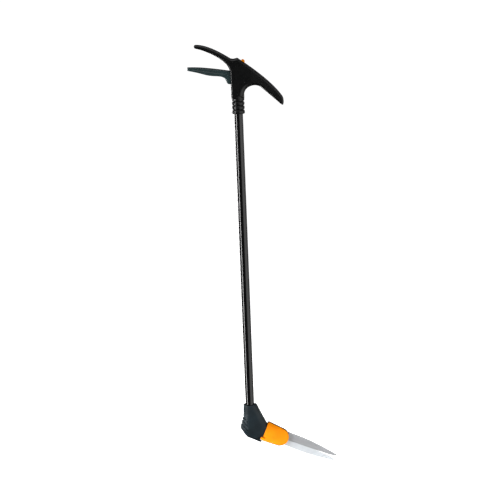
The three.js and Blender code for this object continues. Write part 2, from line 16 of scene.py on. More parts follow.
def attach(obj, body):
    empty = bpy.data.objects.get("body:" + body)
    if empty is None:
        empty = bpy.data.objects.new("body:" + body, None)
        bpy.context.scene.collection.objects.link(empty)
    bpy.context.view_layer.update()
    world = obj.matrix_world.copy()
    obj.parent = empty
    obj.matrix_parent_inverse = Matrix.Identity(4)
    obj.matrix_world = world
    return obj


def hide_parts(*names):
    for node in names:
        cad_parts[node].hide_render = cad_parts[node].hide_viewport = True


bl_info = {
    "name": "Grass Shears",
    "version": (1, 0, 0),
    "blender": (4, 5, 0),
    "location": "3D View > Sidebar > Grass Shears",
    "description": "Builds the long-handled swivel grass shears piece by piece",
    "category": "Add Mesh",
}

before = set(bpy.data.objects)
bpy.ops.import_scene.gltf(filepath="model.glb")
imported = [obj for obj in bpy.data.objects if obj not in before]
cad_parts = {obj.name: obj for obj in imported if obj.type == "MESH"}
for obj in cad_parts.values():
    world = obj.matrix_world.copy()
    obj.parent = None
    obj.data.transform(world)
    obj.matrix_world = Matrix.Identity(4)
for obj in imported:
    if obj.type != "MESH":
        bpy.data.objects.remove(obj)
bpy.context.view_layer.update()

MM = 0.001
TILT = np.radians(24.0)
U_AXIS = np.array([np.cos(TILT), 0.0, -np.sin(TILT)])
V_AXIS = np.array([np.sin(TILT), 0.0, np.cos(TILT)])
SWIVEL = np.array([34.7, 0.0, -794.2])
COLLAR_TOP = 44.0
TUBE_TOP = 36.0
TUBE_BOTTOM = -748.5
BOOT_TOP = -725.5
HEAD_MIDDLE_V = -1.5
BLADE_PIVOT_U = 45.0
HANDLE_SCREWS = [(-72, 159), (-6, 123), (34, 83), (62, 74), (95, 41)]
BOOT_SCREWS = [(-16.5, -779.5), (30.5, -768), (4, -803)]


# ---- Sizes and colours that a user would change ----
class ShearsSizes(bpy.types.PropertyGroup):
    handle_step: FloatProperty(
        name="Handle mesh step", description="Size of the handle's mesh faces",
        default=0.00085, min=0.0005, max=0.004, unit="LENGTH")
    boot_step: FloatProperty(
        name="Boot mesh step", description="Size of the boot's and the head's mesh faces",
        default=0.0008, min=0.0005, max=0.004, unit="LENGTH")
    edge_round: FloatProperty(
        name="Handle edge radius", description="Rounding of the handle's edges",
        default=0.0048, min=0.001, max=0.008, unit="LENGTH")
    groove_depth: FloatProperty(
        name="Heel groove depth", description="Depth of the three grooves round the boot's heel",
        default=0.0022, min=0.0, max=0.003, unit="LENGTH")
    bevel_width: FloatProperty(
        name="Cutting bevel", description="Width of the ground bevel along each cutting edge",
        default=0.0042, min=0.001, max=0.008, unit="LENGTH")
    tube_sides: IntProperty(
        name="Tube sides", description="Faces round the shaft tube", default=96, min=24, max=256)


class ShearsColours(bpy.types.PropertyGroup):
    handle: FloatVectorProperty(
        name="Handle", description="Black nylon of the handle", subtype="COLOR", size=3,
        default=(0.0008, 0.0009, 0.0010), min=0, max=1)
    lever: FloatVectorProperty(
        name="Lever", description="Grey nylon of the squeeze lever", subtype="COLOR", size=3,
        default=(0.009, 0.0185, 0.0195), min=0, max=1)
    boot: FloatVectorProperty(
        name="Boot", description="Dark grey nylon of the boot", subtype="COLOR", size=3,
        default=(0.0058, 0.0120, 0.0160), min=0, max=1)
    cover: FloatVectorProperty(
        name="Cover", description="Orange plastic of the head cover and the lock button",
        subtype="COLOR", size=3, default=(0.82, 0.228, 0.001), min=0, max=1)
    enamel: FloatVectorProperty(
        name="Shaft", description="Black enamel of the shaft", subtype="COLOR", size=3,
        default=(0.0008, 0.0008, 0.0009), min=0, max=1)
    # Blade colour, used painted 0.8 times darker on the front blade; the rear blade has its own
    # lighter painted colour.
    blade: FloatVectorProperty(
        name="Blades", description="Ground steel of the blades", subtype="COLOR", size=3,
        default=(0.62, 0.63, 0.65), min=0, max=1)


# ---- Shapes as fields: nought on the surface, negative inside ----
def smooth_join(a, b, k):
    """The smaller of two fields, blended over k where they are nearly equal: the lesser minus
    the squared overlap of k and their difference, over 4k."""
    h = np.maximum(k - np.abs(a - b), 0.0)
    return np.minimum(a, b) - h * h / (4.0 * k)


def smooth_cut(a, b, k):
    """The greater of two fields, blended over k in the same way."""
    return -smooth_join(-a, -b, k)


def outline_distance(points, x, z):
    """Signed distance to a closed outline in the side view: the least distance to any of its
    segments, negative where a level ray to the right crosses the outline an odd number of times."""
    a = np.asarray(points, np.float32)
    b = np.roll(a, -1, axis=0)
    x, z = np.broadcast_arrays(np.asarray(x, np.float32), np.asarray(z, np.float32))
    shape = x.shape
    x, z = x.reshape(-1, 1), z.reshape(-1, 1)
    edge = b - a
    out = np.empty(len(x), np.float32)
    for part in np.array_split(np.arange(len(x)), max(1, len(x) // 20000)):
        dx, dz = x[part] - a[:, 0], z[part] - a[:, 1]
        along = dx * edge[:, 0] + dz * edge[:, 1]
        t = np.clip(along / np.maximum((edge ** 2).sum(1), 1e-9), 0, 1)
        near = np.sqrt(((dx - t * edge[:, 0]) ** 2 + (dz - t * edge[:, 1]) ** 2).min(1))
        spans = (a[:, 1] > z[part]) != (b[:, 1] > z[part])
        rise = np.where(edge[:, 1] == 0, 1e-9, edge[:, 1])
        hits = spans & (dx < edge[:, 0] * dz / rise)
        out[part] = np.where(hits.sum(1) % 2 == 1, -near, near)
    return out.reshape(shape)


def slab(d_side, y, half, radius):
    """A side-view field given a thickness of 2 x half along y, with its edges rounded: outside
    the rounding the distance to the inset corner, less the radius."""
    q1 = d_side + radius
    q2 = np.abs(y) - half + radius
    inside = np.minimum(np.maximum(q1, q2), 0)
    return inside + np.hypot(np.maximum(q1, 0), np.maximum(q2, 0)) - radius


def box_field(p, low, high):
    """Greatest overshoot past any of the box's six faces."""
    sides = [np.maximum(l - c, c - h) for c, l, h in zip(p, low, high)]
    return np.maximum(np.maximum(sides[0], sides[1]), sides[2])


def in_head(x, y, z):
    """Row coordinates turned into the head's u, y, v."""
    dx, dz = x - SWIVEL[0], z - SWIVEL[2]
    return dx * U_AXIS[0] + dz * U_AXIS[2], y, dx * V_AXIS[0] + dz * V_AXIS[2]


def from_head(points):
    """Points in the head's u, y, v turned into row coordinates."""
    p = np.asarray(points, float)
    turn = np.array([U_AXIS, [0.0, 1.0, 0.0], V_AXIS])
    return p @ turn + SWIVEL


def surface_of(field, low, high, step):
    """The closed surface where a field is nought. Every grid cell that it crosses gets one
    point, the mean of its edges' crossings, pulled on to the surface along the field's slope;
    every crossed grid edge gets the quad of the four cells round it, facing outwards."""
    axes = [np.arange(l - 1.5 * step, h + 2.5 * step, step) for l, h in zip(low, high)]
    grid = np.meshgrid(*axes, indexing="ij", sparse=True)
    value = np.broadcast_to(field(*grid), [len(a) for a in axes]).astype(np.float32)
    cells = np.array(value.shape) - 1
    total = int(cells.prod())
    count, sums, quads = np.zeros(total), np.zeros((3, total)), []
    for axis in range(3):
        lo = [slice(None)] * 3
        hi = [slice(None)] * 3
        lo[axis], hi[axis] = slice(0, -1), slice(1, None)
        first, second = value[tuple(lo)], value[tuple(hi)]
        at = np.argwhere((first < 0) != (second < 0))
        f0, f1 = first[tuple(at.T)], second[tuple(at.T)]
        cross = at.astype(float)
        cross[:, axis] += f0 / (f0 - f1)
        b, c = (axis + 1) % 3, (axis + 2) % 3
        corners = []
        for ob, oc in ((-1, -1), (0, -1), (0, 0), (-1, 0)):
            cell = at.copy()
            cell[:, b] += ob
            cell[:, c] += oc
            flat = np.ravel_multi_index(cell.T, cells)
            corners.append(flat)
            count += np.bincount(flat, minlength=total)
            for k in range(3):
                sums[k] += np.bincount(flat, weights=cross[:, k], minlength=total)
        quad = np.stack(corners, 1)
        quads.append(np.where((f0 < 0)[:, None], quad, quad[:, ::-1]))
    used = np.flatnonzero(count)
    index = np.full(total, -1)
    index[used] = np.arange(len(used))
    points = (sums[:, used] / count[used]).T * step + np.array([a[0] for a in axes])
    for _ in range(3):
        points = pulled(field, points, step)
    return points, index[np.concatenate(quads)]


def pulled(field, points, step):
    """Each point moved by minus the field's value times its slope over the slope's square."""
    e = 0.05
    here = field(*points.T)
    slope = np.stack([
        (field(*(points + e * np.eye(3)[k]).T) - field(*(points - e * np.eye(3)[k]).T)) / (2 * e)
        for k in range(3)], 1)
    square = np.maximum((slope ** 2).sum(1), 0.05)
    move = -(here / square)[:, None] * slope
    return points + np.clip(move, -0.45 * step, 0.45 * step)


# ---- Meshes ----
def new_piece(name, points, faces, body, material, replaces=(), sharp=None):
    """A mesh object at the origin from points in millimetres, riding on a body. Doubles are
    merged first, and then its faces are turned outwards."""
    mesh = bpy.data.meshes.new(name)
    mesh.from_pydata(np.asarray(points, float) * MM, [], np.asarray(faces).tolist()
                     if isinstance(faces, np.ndarray) else faces)
    bm = bmesh.new()
    bm.from_mesh(mesh)
    bmesh.ops.remove_doubles(bm, verts=bm.verts, dist=1e-6)
    bmesh.ops.dissolve_degenerate(bm, edges=bm.edges, dist=1e-7)
    bmesh.ops.recalc_face_normals(bm, faces=bm.faces)
    bm.to_mesh(mesh)
    bm.free()
    mesh.shade_smooth()
    if sharp is not None:
        mesh.set_sharp_from_angle(angle=np.radians(sharp))
    piece = bpy.data.objects.new(name, mesh)
    bpy.context.scene.collection.objects.link(piece)
    mesh.materials.append(material)
    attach(piece, body)
    if replaces:
        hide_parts(*replaces)
    return piece


def grid_faces(rows, columns, wrap_rows=False):
    """Quads of a grid of points stored row by row, closed round its columns, and round its
    rows too where asked."""
    r = np.arange(rows if wrap_rows else rows - 1)[:, None]
    c = np.arange(columns)[None, :]
    r2, c2 = (r + 1) % rows, (c + 1) % columns
    quads = np.stack([r * columns + c, r * columns + c2, r2 * columns + c2, r2 * columns + c], -1)
    return quads.reshape(-1, 4)


def turned(profile, sides, closed=True):
    """A profile of radius and height carried round the z axis: x = r cos a, y = r sin a, z = h.
    A closed profile gives a ring; an open one runs from pole to pole."""
    r, h = np.asarray(profile, float).T
    a = np.arange(sides) * 2 * np.pi / sides
    points = np.stack([
        np.outer(r, np.cos(a)), np.outer(r, np.sin(a)), np.outer(h, np.ones(sides))], -1)
    return points.reshape(-1, 3), grid_faces(len(r), sides, wrap_rows=closed)


def facing_y(points, x, z):
    """A shape turned about z set along y at (x, z): its height becomes y."""
    p = np.asarray(points, float)
    return np.stack([p[:, 0] + x, p[:, 2], p[:, 1] + z], 1)


def arc(cx, cz, r, from_deg, to_deg, count):
    """Points round a circle from one angle to another."""
    a = np.radians(np.linspace(from_deg, to_deg, count))
    return np.stack([cx + r * np.cos(a), cz + r * np.sin(a)], 1)


def bezier(p0, p1, p2, p3, count):
    """Points on a cubic curve, its first end left out: the four points weighed by (1-t)^3,
    3t(1-t)^2, 3t^2(1-t) and t^3."""
    t = np.linspace(0, 1, count + 1)[1:, None]
    p0, p1, p2, p3 = (np.array(p, float) for p in (p0, p1, p2, p3))
    return (1 - t) ** 3 * p0 + 3 * t * (1 - t) ** 2 * p1 + 3 * t ** 2 * (1 - t) * p2 + t ** 3 * p3


def resampled(points, spacing):
    """A closed outline with points at even steps along each of its sides."""
    p = np.asarray(points, float)
    q = np.roll(p, -1, axis=0)
    count = np.maximum(1, np.ceil(np.linalg.norm(q - p, axis=1) / spacing).astype(int))
    start, end = np.repeat(p, count, 0), np.repeat(q, count, 0)
    step = np.arange(count.sum()) - np.repeat(np.cumsum(count) - count, count)
    return start + (end - start) * (step / np.repeat(count, count))[:, None]


def plate(loops, front, back, spacing, lines=()):
    """A plate from closed loops in two directions, holes included: the plane between the loops
    is triangulated over an even field of points, laid twice, at depths front and back, and
    walled along every loop. front and back are functions of the two directions."""
    loops = [resampled(loop, spacing) for loop in loops]
    start = np.cumsum([0] + [len(loop) for loop in loops])
    walls = np.concatenate([
        np.stack([np.arange(a, b), np.roll(np.arange(a, b), -1)], 1)
        for a, b in zip(start[:-1], start[1:])])
    outline = np.concatenate(loops)
    low, high = outline.min(0), outline.max(0)
    xs, zs = np.meshgrid(np.arange(low[0], high[0], spacing), np.arange(low[1], high[1], spacing))
    inner = np.stack([xs.ravel(), zs.ravel()], 1)
    depth = np.max([outline_distance(loops[0], *inner.T)]
                   + [-outline_distance(loop, *inner.T) for loop in loops[1:]], axis=0)
    inner = inner[depth < -0.45 * spacing]
    extra = [resampled(line, spacing)[:-1] for line in lines]
    every = np.concatenate([outline, *extra, inner])
    made = delaunay_2d_cdt([Vector(p) for p in every], walls.tolist(), [], 0, 1e-4)
    flat = np.array([v[:] for v in made[0]])
    tris = np.array(made[2])
    middle = flat[tris].mean(1)
    keep = outline_distance(loops[0], *middle.T) < 0
    for loop in loops[1:]:
        keep &= outline_distance(loop, *middle.T) > 0
    tris = tris[keep]
    edges = np.concatenate([tris[:, [0, 1]], tris[:, [1, 2]], tris[:, [2, 0]]])
    key = np.sort(edges, 1)
    _, where, times = np.unique(key, axis=0, return_index=True, return_counts=True)
    rim = edges[where[times == 1]]
    n = len(flat)
    x, z = flat.T
    points = np.concatenate([np.stack([x, front(x, z), z], 1), np.stack([x, back(x, z), z], 1)])
    faces = (tris.tolist() + (tris[:, ::-1] + n).tolist()
             + np.stack([rim[:, 1], rim[:, 0], rim[:, 0] + n, rim[:, 1] + n], 1).tolist())
    return points, faces


# ---- Finishes ----
class Nodes:
    """A node material with short ways to add what these finishes need."""

    def __init__(self, name, colour, roughness, metallic=0.0, **sockets):
        self.material = bpy.data.materials.new(name)
        self.material.use_nodes = True
        self.tree = self.material.node_tree
        self.shader = self.tree.nodes["Principled BSDF"]
        self.shader.inputs["Base Color"].default_value = (*colour, 1.0)
        self.shader.inputs["Roughness"].default_value = roughness
        self.shader.inputs["Metallic"].default_value = metallic
        for socket, value in sockets.items():
            self.shader.inputs[socket.replace("_", " ")].default_value = value
        self.place = self.add("ShaderNodeTexCoord").outputs["Object"]

    def add(self, kind, **settings):
        """A new node with its settings."""
        node = self.tree.nodes.new(kind)
        for key, value in settings.items():
            setattr(node, key, value)
        return node

    def link(self, a, b):
        """Joins an output to an input."""
        self.tree.links.new(a, b)

    def noise(self, scale, detail=3.0, roughness=0.6, stretch=(1, 1, 1), turn=(0, 0, 0)):
        """Noise on the object's own coordinates, turned and then stretched."""
        mapping = self.add("ShaderNodeMapping")
        mapping.inputs["Scale"].default_value = stretch
        mapping.inputs["Rotation"].default_value = turn
        self.link(self.place, mapping.inputs["Vector"])
        tex = self.add("ShaderNodeTexNoise")
        tex.inputs["Scale"].default_value = scale
        tex.inputs["Detail"].default_value = detail
        tex.inputs["Roughness"].default_value = roughness
        self.link(mapping.outputs[0], tex.inputs["Vector"])
        return tex.outputs["Fac"]

    def spread(self, value, low, high, out_low, out_high):
        """A value between low and high carried evenly to between two others."""
        node = self.add("ShaderNodeMapRange")
        ends = {"From Min": low, "From Max": high, "To Min": out_low, "To Max": out_high}
        for key, end in ends.items():
            node.inputs[key].default_value = end
        self.link(value, node.inputs["Value"])
        return node.outputs["Result"]

    def shade(self, value, dark, light):
        """Base colour between two colours by a value."""
        mix = self.add("ShaderNodeMix", data_type="RGBA")
        mix.inputs["A"].default_value = (*dark, 1.0)
        mix.inputs["B"].default_value = (*light, 1.0)
        self.link(value, mix.inputs["Factor"])
        self.link(mix.outputs["Result"], self.shader.inputs["Base Color"])

    def bump(self, value, depth):
        """Relief from a value, of a depth in metres."""
        node = self.add("ShaderNodeBump")
        node.inputs["Distance"].default_value = depth
        node.inputs["Strength"].default_value = 1.0
        self.link(value, node.inputs["Height"])
        self.link(node.outputs["Normal"], self.shader.inputs["Normal"])

    def rough(self, value):
        """Roughness from a value."""
        self.link(value, self.shader.inputs["Roughness"])


def scaled(colour, k):
    """A colour times k, and no more than white."""
    return tuple(min(1.0, c * k) for c in colour)


def moulded(name, colour, roughness, grain, blotch, specular):
    """Moulded nylon: a fine spark-eroded grain, slow blotches of tone and patches rubbed
    smoother."""
    m = Nodes(name, colour, roughness, Specular_IOR_Level=specular)
    slow = m.noise(38.0, 4.0, 0.55)
    fine = m.noise(1900.0, 2.0, 0.5)
    tone = m.spread(slow, 0.32, 0.68, 0.0, 1.0)
    m.shade(tone, scaled(colour, 1 - blotch), scaled(colour, 1 + blotch))
    m.rough(m.spread(slow, 0.3, 0.7, roughness + 0.05, roughness - 0.06))
    m.bump(fine, grain)
    return m.material


def steel_finish(name, colour, roughness):
    """Bright steel: a fine even noise drives its tone and bump, and a slow one its gloss."""
    m = Nodes(name, colour, roughness, 1.0, Specular_IOR_Level=0.5)
    fine = m.noise(300.0, 3.0, 0.65)
    slow = m.noise(30.0, 3.0, 0.5)
    m.shade(m.spread(fine, 0.3, 0.7, 0.0, 1.0), scaled(colour, 1 - 0.1), scaled(colour, 1 + 0.1))
    m.rough(m.spread(slow, 0.3, 0.7, roughness - 0.04, roughness + 0.06))
    m.bump(fine, 0.00003)
    return m.material


_finishes = {}


def finish(name):
    """The named finish, made the first time it is asked for."""
    if name not in _finishes:
        c = bpy.context.scene.shears_colours
        makers = {
            "handle_nylon": lambda: moulded("handle_nylon", c.handle, 0.35, 0.00001, 0.25, 0.4),
            "lever_nylon": lambda: moulded("lever_nylon", c.lever, 0.34, 0.00002, 0.22, 0.5),
            "boot_nylon": lambda: moulded("boot_nylon", c.boot, 0.5, 0.00005, 0.28, 0.35),
            "orange_plastic": orange_plastic,
            "black_enamel": black_enamel,
            # Painted light: one blade steel in a shaded copy for the front blade (0.8 of the
            # colour, more metallic) and a lit copy for the rear blade (lighter, less metallic).
            "blade_front_shaded": lambda: blade_steel("blade_front_shaded", scaled(c.blade, 0.8), 0.34, 0.55),
            "blade_rear_lit": lambda: blade_steel("blade_rear_lit", (0.61, 0.64, 0.67), 0.3, 0.25),
            "zinc_steel": lambda: steel_finish("zinc_steel", (0.5, 0.5, 0.49), 0.34),
            "spring_steel": lambda: steel_finish("spring_steel", (0.4, 0.4, 0.42), 0.26),
        }
        _finishes[name] = makers[name]()
    return _finishes[name]


def orange_plastic():
    """Orange moulding: satin with a faint lighter bloom, gloss patches and a very fine grain."""
    colour = tuple(bpy.context.scene.shears_colours.cover)
    m = Nodes("orange_plastic", colour, 0.4, Specular_IOR_Level=0.08)
    slow = m.noise(26.0, 3.0, 0.5)
    warm = (colour[0], colour[1] * 1.12, colour[2])
    deep = (colour[0] * 0.97, colour[1] * 0.88, colour[2] * 0.8)
    m.shade(m.spread(slow, 0.35, 0.65, 0.0, 1.0), deep, warm)
    m.rough(m.spread(slow, 0.3, 0.7, 0.4, 0.32))
    m.bump(m.noise(1500.0, 2.0, 0.5), 0.000015)
    return m.material


def black_enamel():
    """Stoved black enamel on tube: near-mirror gloss with a slight orange-peel waviness."""
    colour = tuple(bpy.context.scene.shears_colours.enamel)
    m = Nodes("black_enamel", colour, 0.16, Specular_IOR_Level=0.5,
              Coat_Weight=0.25, Coat_Roughness=0.06)
    slow = m.noise(20.0, 3.0, 0.5, stretch=(1, 1, 0.3))
    m.rough(m.spread(slow, 0.3, 0.7, 0.13, 0.2))
    m.shade(slow, scaled(colour, 0.8), scaled(colour, 1.3))
    m.bump(m.noise(220.0, 2.0, 0.5), 0.000004)
    return m.material


# Painted reflection on the blades: where along the head, in metres from the swivel, their tone is
# painted darkest.
PAINTED_REFLECTION_DARKEST_AT = 0.108


def blade_steel(name, colour, roughness, metallic):
    """Ground blade steel: brushed along the blade, with faint stains. Its tone is a painted
    reflection: it rises evenly with the distance, along the head, from the place halfway along the
    blade where it is painted darkest."""
    m = Nodes(name, colour, roughness, metallic, Specular_IOR_Level=0.5, Anisotropic=0.35)
    lines = m.noise(900.0, 3.0, 0.65, stretch=(0.02, 1, 1), turn=(0, -TILT, 0))
    slow = m.noise(22.0, 4.0, 0.55, stretch=(0.5, 1, 1), turn=(0, -TILT, 0))
    both = m.add("ShaderNodeMath", operation="MULTIPLY_ADD")
    m.link(lines, both.inputs[0])
    both.inputs[1].default_value = 0.6
    m.link(m.spread(slow, 0.3, 0.7, 0.0, 0.4), both.inputs[2])
    mapping = m.add("ShaderNodeMapping")
    mapping.inputs["Rotation"].default_value = (0, -TILT, 0)
    m.link(m.place, mapping.inputs["Vector"])
    split = m.add("ShaderNodeSeparateXYZ")
    m.link(mapping.outputs[0], split.inputs[0])
    # Painted reflection: the base colour is painted darkest partway along the blade and lighter
    # towards both of its ends.
    along = (SWIVEL[0] * np.cos(TILT) - SWIVEL[2] * np.sin(TILT)) * MM
    off = m.add("ShaderNodeMath", operation="SUBTRACT")
    m.link(split.outputs["X"], off.inputs[0])
    off.inputs[1].default_value = along + PAINTED_REFLECTION_DARKEST_AT
    size = m.add("ShaderNodeMath", operation="ABSOLUTE")
    m.link(off.outputs[0], size.inputs[0])
    ends = m.add("ShaderNodeMath", operation="ADD")
    m.link(both.outputs[0], ends.inputs[0])
    m.link(m.spread(size.outputs[0], 0.0, 0.06, -0.22, 0.28), ends.inputs[1])
    m.shade(ends.outputs[0], scaled(colour, 0.76), scaled(colour, 1.24))
    m.rough(m.spread(slow, 0.3, 0.7, roughness - 0.05, roughness + 0.07))
    m.bump(lines, 0.00002)
    return m.material


# ---- Handle ----
def handle_outline():
    """The housing from the side: palm grip to the left, front arm to the right, crook and stem."""
    parts = [
        [(-15.8, 38), (-16.8, 105)],
        bezier((-16.8, 105), (-19, 117), (-26, 127), (-44, 139.5), 12),
        bezier((-44, 139.5), (-62, 151), (-82, 160), (-99, 164), 12),
        bezier((-99, 164), (-105, 165.5), (-104.5, 172.5), (-98, 172.5), 10),
        bezier((-98, 172.5), (-75, 171.5), (-48, 158.5), (-14, 135.5), 18),
        [(-8, 134.6), (-2, 135.8), (2, 137)],
        bezier((2, 137), (36, 112.5), (85, 76.5), (110, 38.5), 26),
        bezier((110, 38.5), (112.4, 33), (112.4, 24), (110.6, 20.2), 8),
        bezier((110.6, 20.2), (109.6, 18.2), (107.2, 18.3), (104.5, 20.8), 6),
        [(56, 65)],
        bezier((56, 65), (48, 72), (18, 72), (15.5, 46), 18),
        [(15.5, 38)],
    ]
    return np.concatenate([np.asarray(p, float) for p in parts])


HANDLE_HOLLOW = [
    (-12.5, 45), (12, 45), (12.5, 52), (20, 66), (38, 74.5), (48, 73), (54, 78), (50, 91),
    (28, 110), (4, 127), (-8, 128), (-12, 116),
]
RIBS = (10.4, 20.7, 30.9)
CROOK_ROUND = 11.5
ROOF_SLOPE = np.radians(37.5)
LOCK_AT = (15.2, 128.0)


def collar_radius(z):
    """The collar's radius by height: 15.6 with a slight bulge between the grooves, less a bell
    of depth 1.9 at each groove, flared at the lowest lip and drawn in at its bottom corner."""
    grooves = sum(1.9 * np.exp(-((z - g) / 1.05) ** 2) for g in RIBS)
    bulge = 0.35 * np.cos((z - 5.2) * 2 * np.pi / 10.25) * (z < 36)
    flare = 0.5 * np.exp(-((z - 3.0) / 2.2) ** 2)
    corner = 1.6 * np.clip((1.4 - z) / 1.4, 0, 1) ** 2
    return 15.6 + bulge + flare - grooves - corner


def in_lock(x, y, z):
    """Row coordinates in the lock's frame: down the roof, across, and off the roof."""
    dx, dz = x - LOCK_AT[0], z - LOCK_AT[1]
    c, s = np.cos(ROOF_SLOPE), np.sin(ROOF_SLOPE)
    return dx * c - dz * s, y, dx * s + dz * c


def handle_half(x):
    """Half the handle's thickness along its length."""
    return np.interp(x, [-108, -70, -14, 34, 114], [11.5, 14, 16.8, 16.8, 13])


def handle_field(outline, round_max):
    """The handle as one body: the outline given its thickness, with edges rounded most inside
    the crook, blended into the round stem, less the hollow, the lever's slot, the tube's bore,
    the lock's window and the screws' seats."""
    def field(x, y, z):
        side = outline_distance(outline, x, z)
        half = handle_half(x)
        radius = np.interp(
            x, [-108, -96, -60, -14, 10, 80, 114],
            [3.9, 4.2, 5.6, round_max, round_max, round_max + 0.8, 4.2])
        below = np.clip((124 - 0.91 * x - z) / 16, 0, 1) * np.clip((x + 2) / 10, 0, 1)
        radius = radius + below * np.clip((112 - x) / 50, 0, 1) * (CROOK_ROUND - radius)
        body = slab(side, y, half, radius)
        reach = np.hypot(x, y)
        stem = np.maximum(reach - collar_radius(z), np.maximum(-z, z - COLLAR_TOP - 3))
        body = np.maximum(body, 38.5 - z - 3 * np.clip(x - 30, 0, 30))
        whole = smooth_join(body, stem, 2.6)
        hollow = np.maximum(outline_distance(HANDLE_HOLLOW, x, z), np.abs(y) - 12.4)
        slot = box_field((x, y, z), (-30, -9.6, 57), (-10, 9.6, 110.5))
        bore = np.maximum(reach - 11.3, z - 47)
        lock = in_lock(x, y, z)
        window = np.minimum(box_field(lock, (-3.5, -3.6, -7), (8.8, 3.6, 6)),
                            box_field(lock, (-5.5, -6.4, -0.6), (10.5, 6.4, 6)))
        whole = smooth_cut(whole, -slot, 0.8)
        for cut in (hollow, bore, window, screw_seats(HANDLE_SCREWS, x, y, z, handle_screw_top)):
            whole = np.maximum(whole, -cut)
        return whole
    return field


def handle_screw_top(x):
    """How far out a handle screw's head stands: 1.2 under the wall, and no more than 14.2."""
    return min(14.2, float(handle_half(x)) - 1.2)


def boot_screw_top(x):
    """How far out a boot screw's head stands, the same at every place."""
    return 13.2


def screw_seats(places, x, y, z, top):
    """Counterbores and shank holes from the far side: upright cylinders about each place."""
    cuts = []
    for px, pz in places:
        r = np.hypot(x - px, z - pz)
        cuts.append(np.maximum(r - 4.0, top(px) - 2.6 - y))
        cuts.append(np.maximum(r - 2.1, np.abs(y - 3) - 12.0))
    return np.min(np.broadcast_arrays(*cuts), axis=0)


def mesh_step(length):
    return length / MM * 1.0


def half_of(field, side, gap=0.15):
    """One half of a body that is split at y = 0: side -1 keeps the near half, 1 the far one."""
    return lambda x, y, z: np.maximum(field(x, y, z), gap - side * y)


class SHEARS_OT_handle(bpy.types.Operator):
    """Two handle shells with palm grip, front arm, crook and ribbed collar"""
    bl_idname = "shears.handle"
    bl_label = "Handle shells"

    def execute(self, context):
        sizes = context.scene.shears_sizes
        outline = resampled(handle_outline(), 3.0)
        whole = handle_field(outline, sizes.edge_round / MM)
        for side, name, low, high in ((-1, "right", -17, -0.15), (1, "left", 0.15, 17)):
            points, faces = surface_of(
                half_of(whole, side), (-105, low, 0), (114, high, 173.5),
                mesh_step(sizes.handle_step))
            new_piece(f"handle_{name}_moulding", points, faces, "tool_frame",
                      finish("handle_nylon"), (f"handle_shell_{name}",))
        return {"FINISHED"}


# ---- Lever ----
def lever_outline():
    """The lever from the side: a long paddle that narrows to the left, with a heel guard."""
    parts = [
        [(-120.9, 110.2), (-120.6, 118.3)],
        bezier((-120.6, 118.3), (-90, 118.5), (-60, 114), (-18, 106.6), 16),
        [(12, 99.5)],
        arc(22, 90, 7.5, 115, -138, 18),
        [(-3, 80), (-16, 73.7)],
        bezier((-16, 73.7), (-27, 73), (-25, 79), (-28, 84), 8),
        bezier((-28, 84), (-31, 91), (-36, 93.4), (-50, 94.4), 8),
        bezier((-50, 94.4), (-80, 96), (-80, 102), (-120.9, 110.2), 14),
    ]
    return np.concatenate([np.asarray(p, float) for p in parts])


class SHEARS_OT_lever(bpy.types.Operator):
    """The squeeze lever: a rounded paddle with a shallow channel along each cheek"""
    bl_idname = "shears.lever"
    bl_label = "Squeeze lever"

    def execute(self, context):
        outline = resampled(lever_outline(), 2.5)
        ridge_x, ridge_z = [-118, -80, -40, -24], [115.2, 108.5, 101.5, 98.5]

        def field(x, y, z):
            """The outline given a thickness that narrows to the tip, raised by a bell of depth
            1.5 along each cheek's channel, less the rod's eye and the two pin holes."""
            side = outline_distance(outline, x, z)
            radius = np.interp(x, [-122, -110, -70, -30, 30], [2.4, 3.0, 5.2, 4.4, 3.0])
            half = np.interp(x, [-122, -100, -60, 30], [7.6, 8.6, 9.0, 9.0])
            body = slab(side, y, half, radius)
            line = z - np.interp(x, ridge_x, ridge_z)
            channel = 1.5 * np.exp(-(line / 1.9) ** 2)
            channel = channel * np.clip((-26 - x) / 8, 0, 1) * np.clip((x + 116) / 8, 0, 1)
            body = body + channel * (np.abs(y) > 2)
            eye = np.minimum(box_field((x, y, z), (-7.5, -3, 60), (7.5, 3, 98)),
                             box_field((x, y, z), (-8, -4, 60), (8, 4, 86)))
            pivot = np.hypot(x - 22, z - 90) - 3.3
            link = np.hypot(x, z - 90) - 2.3
            for cut in (eye, pivot, link):
                body = np.maximum(body, -cut)
            return body

        step = mesh_step(context.scene.shears_sizes.handle_step)
        points, faces = surface_of(field, (-121, -9, 73.5), (30, 9, 119), step)
        new_piece("squeeze_lever", points, faces, "trigger", finish("lever_nylon"),
                  ("trigger_lever",))
        return {"FINISHED"}


# ---- Lock button ----
LOCK_STEP = 0.32


class SHEARS_OT_lock_button(bpy.types.Operator):
    """The orange lock button: a rounded wedge with three thumb ridges on a narrow neck"""
    bl_idname = "shears.lock_button"
    bl_label = "Lock button"

    def execute(self, context):
        wedge = resampled(
            [(-4.8, 0), (5.2, 0), (4.8, 1.8), (2.2, 4.6), (-2.4, 5.2), (-4.4, 3.0)], 1.0)

        def field(x, y, z):
            """The least of four bodies: the rounded wedge with a wave of ridges, the neck under
            it, the foot inside the housing and the tongue below."""
            a, b, c = in_lock(x, y, z)
            cap = slab(outline_distance(wedge, a, c), b, 6.0, 0.9)
            ridges = 0.3 * np.cos(a * 2 * np.pi / 1.9)
            ridges = ridges * (c > 1.4) * (np.abs(a) < 3.2) * (np.abs(b) < 4.6)
            neck = box_field((a, b, c), (-3, -3.2, -5.6), (3, 3.2, 0.5))
            foot = box_field((a, b, c), (-6, -6, -7.4), (6, 6, -5.4))
            tongue = box_field((a, b, c), (-1.5, -3, -16), (1.5, 3, -7))
            return np.minimum.reduce(np.broadcast_arrays(cap - ridges, neck, foot, tongue))

        points, faces = surface_of(field, (3.5, -6.2, 113.5), (22.5, 6.2, 136), LOCK_STEP)
        new_piece("lock_slider", points, faces, "lock", finish("orange_plastic"),
                  ("lock_button",))
        return {"FINISHED"}


